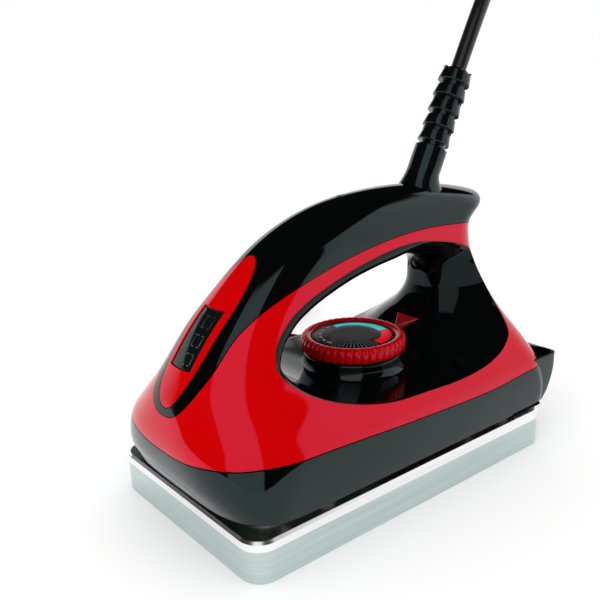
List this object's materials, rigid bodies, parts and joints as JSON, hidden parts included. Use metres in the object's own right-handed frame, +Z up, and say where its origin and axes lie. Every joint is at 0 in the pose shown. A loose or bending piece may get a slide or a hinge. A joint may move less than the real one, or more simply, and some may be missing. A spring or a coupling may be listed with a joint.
{
  "type": "waxing iron",
  "caption": "Electric waxing iron with a thick flat sole plate, hollow loop handle, digital display, fluted temperature dial and a mains lead with a segmented boot.",
  "frame": {"origin": "centre of the sole plate's working face, which lies on the floor", "axes": "+Z up from the sole plate, +Y from the nose to the heel, +X to the iron's left side"},
  "size_m": [0.2638, 0.2443, 0.2212],
  "materials": {
    "sole_aluminium": "satin, milled",
    "steel_parts": "satin",
    "insulation": "matt mineral fibre",
    "brass_parts": "satin",
    "black_gloss": "high gloss",
    "red_gloss": "high gloss",
    "black_matt": "matt",
    "display_clear": "dark tinted, polished",
    "board_green": "solder mask",
    "led_red": "clear red",
    "pointer_red": "translucent gloss",
    "knob_red": "dark gloss",
    "dial_black": "gloss, printed scale",
    "rubber_black": "satin rubber",
    "cord_black": "matt sheath",
    "wire_sleeve": "matt",
    "relay_blue": "moulded",
    "ceramic": "moulded"
  },
  "bodies": {
    "root": {"sole_plate": "sole_aluminium", "heating_element": "steel_parts", "insulation_mat": "insulation", "heat_shield": "steel_parts", "plate_spacers": "steel_parts", "plate_screws": "steel_parts", "earth_tag": "brass_parts", "earth_screw": "brass_parts", "temperature_sensor": "ceramic", "thermal_fuse": "steel_parts", "sensor_clips": "steel_parts", "base_skirt": "black_gloss", "body_shell": "red_gloss", "housing_screws": "steel_parts", "top_shell": "black_gloss", "display_panel": "red_gloss", "display_window": "display_clear", "lcd_module": "black_matt", "display_board": "board_green", "display_screws": "steel_parts", "handle_liner": "black_gloss", "crown_screws": "steel_parts", "pointer_lens": "pointer_red", "indicator_led": "led_red", "potentiometer": "black_matt", "spindle_nut": "brass_parts", "control_board": "board_green", "board_screws": "steel_parts", "power_switch": "steel_parts", "heat_sink": "sole_aluminium", "capacitors": "black_matt", "mains_relay": "relay_blue", "terminal_block": "ceramic", "terminal_screws": "brass_parts", "cord_boot": "rubber_black", "cord_entry": "cord_black", "cord_clamp": "black_matt", "clamp_screws": "steel_parts", "lead_wires": "wire_sleeve", "mains_cord": "cord_black", "cord_tail": "cord_black", "cord_coil": "cord_black", "plug_body": "rubber_black", "plug_pins": "brass_parts"},
    "dial": {"dial_knob": "knob_red", "dial_face": "dial_black", "dial_spindle": "brass_parts"}
  },
  "joints": [
    {"name": "dial_turn", "type": "hinge", "parent": "root", "child": "dial", "pos_m": [0, 0.0084, 0.05], "axis": [0, 0, 1], "range_deg": [-150, 150]}
  ]
}
